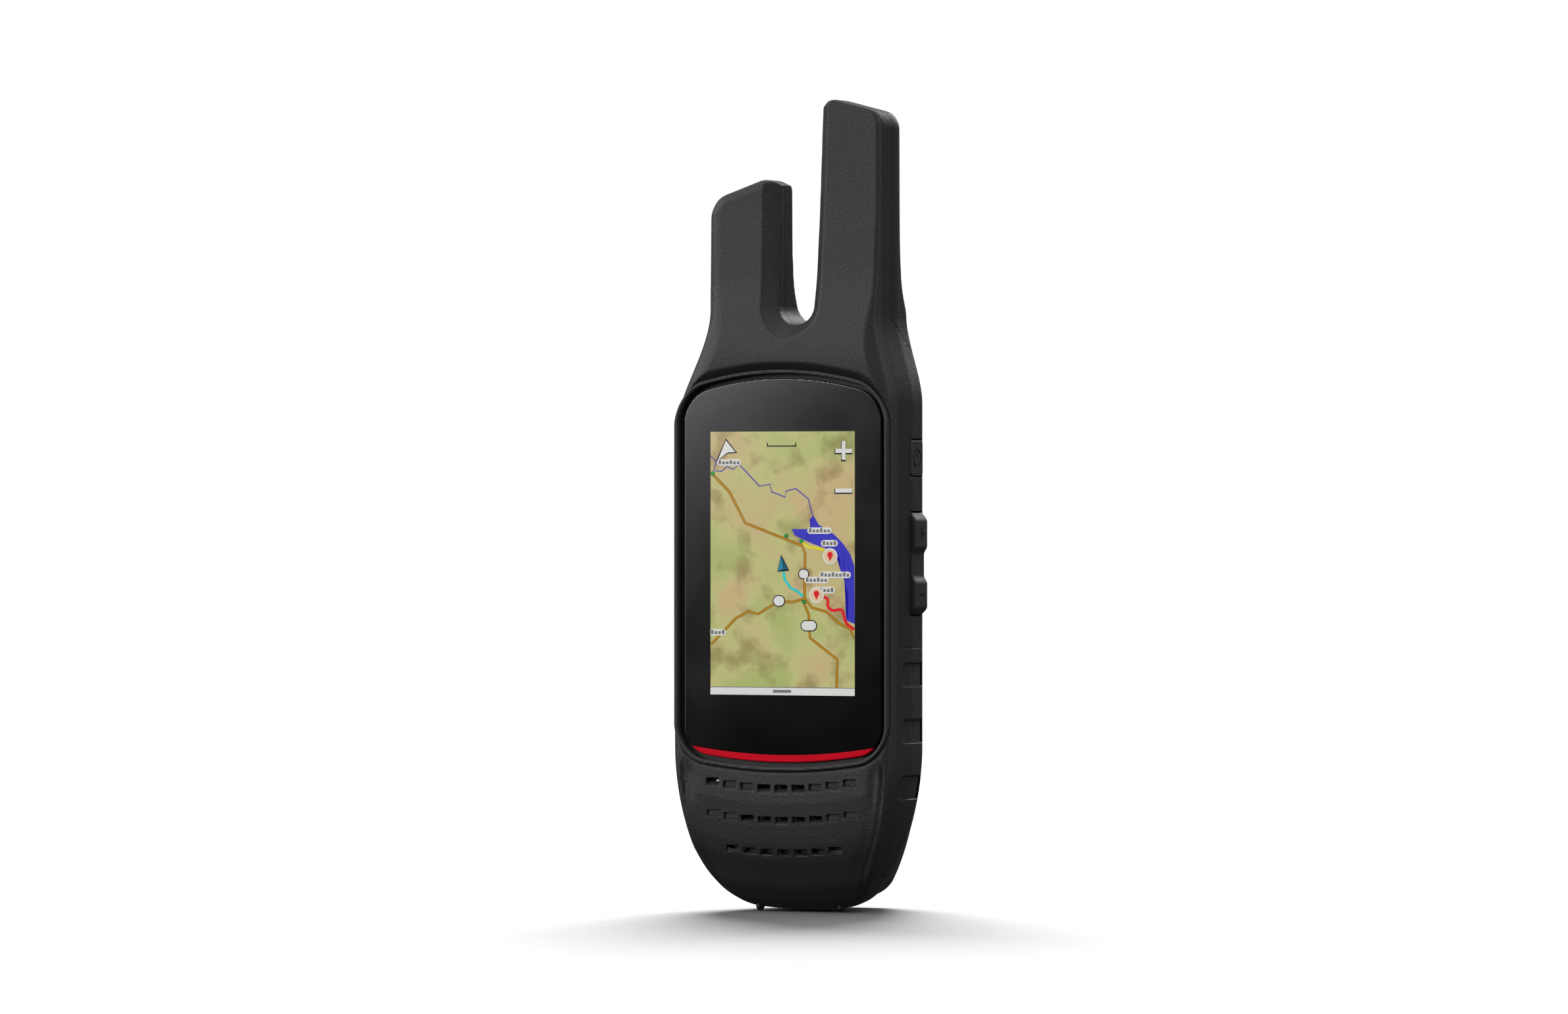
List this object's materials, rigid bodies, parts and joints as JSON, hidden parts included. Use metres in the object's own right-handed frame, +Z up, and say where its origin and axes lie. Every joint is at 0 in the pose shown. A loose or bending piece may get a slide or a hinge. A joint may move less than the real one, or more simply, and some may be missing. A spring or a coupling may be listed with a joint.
{
  "type": "handheld gps unit",
  "caption": "Rugged handheld satellite navigator and two-way radio: touch screen, two antennas on a forked neck, side keys, speaker grille, port cap, rear battery pack with a ring latch.",
  "frame": {"origin": "below the middle of the case, level with the tips of the two foot pegs", "axes": "+Z up towards the antennas, the screen faces -Y, +X to the right of a person facing the screen"},
  "size_m": [0.066, 0.041, 0.2014],
  "materials": {
    "case_plastic": "fine-grained matt charcoal plastic",
    "grip_rubber": "soft matt overmould",
    "seal_rubber": "silicone seal",
    "cover_glass": "polished black cover glass",
    "mask_ink": "black ink behind the glass",
    "touch_film": "clear film on a grid",
    "accent_red": "satin red",
    "screen": "lit map",
    "diffuser": "white diffuser",
    "frame_metal": "cast",
    "board": "solder mask",
    "can_steel": "tinned steel",
    "chip": "moulded",
    "former": "moulded",
    "copper": "plated copper",
    "cable": "coaxial sheath",
    "speaker_frame": "black",
    "steel": "satin steel",
    "insert_brass": "turned",
    "peg_plastic": "black",
    "membrane": "porous film",
    "eye_plastic": "glass-filled plastic",
    "key_rubber": "silk-matt rubber",
    "battery_plastic": "matt black plastic",
    "cell_wrap": "shrink wrap"
  },
  "bodies": {
    "housing": {"front_shell": "case_plastic", "rear_shell": "case_plastic", "main_gasket": "seal_rubber", "bezel_ring": "grip_rubber", "cover_glass": "cover_glass", "glass_mask": "mask_ink", "touch_sensor": "touch_film", "accent_strip": "accent_red", "display_panel": "screen", "backlight_unit": "diffuser", "midframe": "frame_metal", "main_pcb": "board", "shield_cans": "can_steel", "ic_chips": "chip", "radio_module": "can_steel", "gps_helix_core": "former", "gps_helix_strips": "copper", "radio_antenna_rod": "former", "radio_antenna_coil": "copper", "antenna_cables": "cable", "speaker": "speaker_frame", "speaker_mesh": "speaker_frame", "microphone": "can_steel", "microphone_boot": "seal_rubber", "side_grip_right": "grip_rubber", "side_grip_left": "grip_rubber", "key_bracket_right": "steel", "key_bracket_left": "steel", "key_board_right": "board", "key_board_left": "board", "rocker_pin": "steel", "battery_contacts": "copper", "port_board": "board", "usb_socket": "can_steel", "headset_jack": "chip", "card_cage": "can_steel", "memory_card": "chip", "shell_screws": "steel", "pcb_screws": "steel", "latch_insert": "insert_brass", "foot_pegs": "peg_plastic", "vent_membrane": "membrane", "lanyard_eye": "eye_plastic", "cap_pin": "steel"},
    "power_key": {"power_button": "key_rubber"},
    "volume_key": {"volume_rocker": "key_rubber"},
    "talk_key": {"talk_button": "key_rubber"},
    "call_key": {"call_button": "key_rubber"},
    "port_cap": {"weather_cap": "key_rubber"},
    "battery_pack": {"battery_case": "battery_plastic", "battery_lid": "battery_plastic", "battery_cells": "cell_wrap", "battery_board": "board", "clip_rail": "battery_plastic"},
    "latch": {"latch_screw": "steel", "d_ring_pin": "steel"},
    "folding_ring": {"d_ring": "steel"}
  },
  "joints": [
    {"name": "power_press", "type": "slide", "parent": "housing", "child": "power_key", "axis": [-1, 0, 0], "range_m": [0, 0.0005], "stiffness_N_per_m": 2000, "springref_m": -0.0003},
    {"name": "volume_rock", "type": "hinge", "parent": "housing", "child": "volume_key", "pos_m": [0.028, -0.00775, 0.0867], "axis": [0, 1, 0], "range_deg": [-2.2, 2.2], "stiffness_Nm_per_rad": 0.5},
    {"name": "talk_press", "type": "slide", "parent": "housing", "child": "talk_key", "axis": [1, 0, 0], "range_m": [0, 0.0005], "stiffness_N_per_m": 2500, "springref_m": -0.0003},
    {"name": "call_press", "type": "slide", "parent": "housing", "child": "call_key", "axis": [1, 0, 0], "range_m": [0, 0.0005], "stiffness_N_per_m": 2000, "springref_m": -0.0003},
    {"name": "cap_hinge", "type": "hinge", "parent": "housing", "child": "port_cap", "pos_m": [0, 0.0143, 0.1242], "axis": [1, 0, 0], "range_deg": [0, 110]},
    {"name": "battery_slide", "type": "slide", "parent": "housing", "child": "battery_pack", "axis": [0, 1, 0], "range_m": [0, 0.03]},
    {"name": "latch_turn", "type": "hinge", "parent": "battery_pack", "child": "latch", "pos_m": [0, 0.0179, 0.02], "axis": [0, 1, 0], "range_deg": [0, 90]},
    {"name": "ring_fold", "type": "hinge", "parent": "latch", "child": "folding_ring", "pos_m": [0, 0.01955, 0.02], "axis": [-1, 0, 0], "range_deg": [0, 100]}
  ]
}
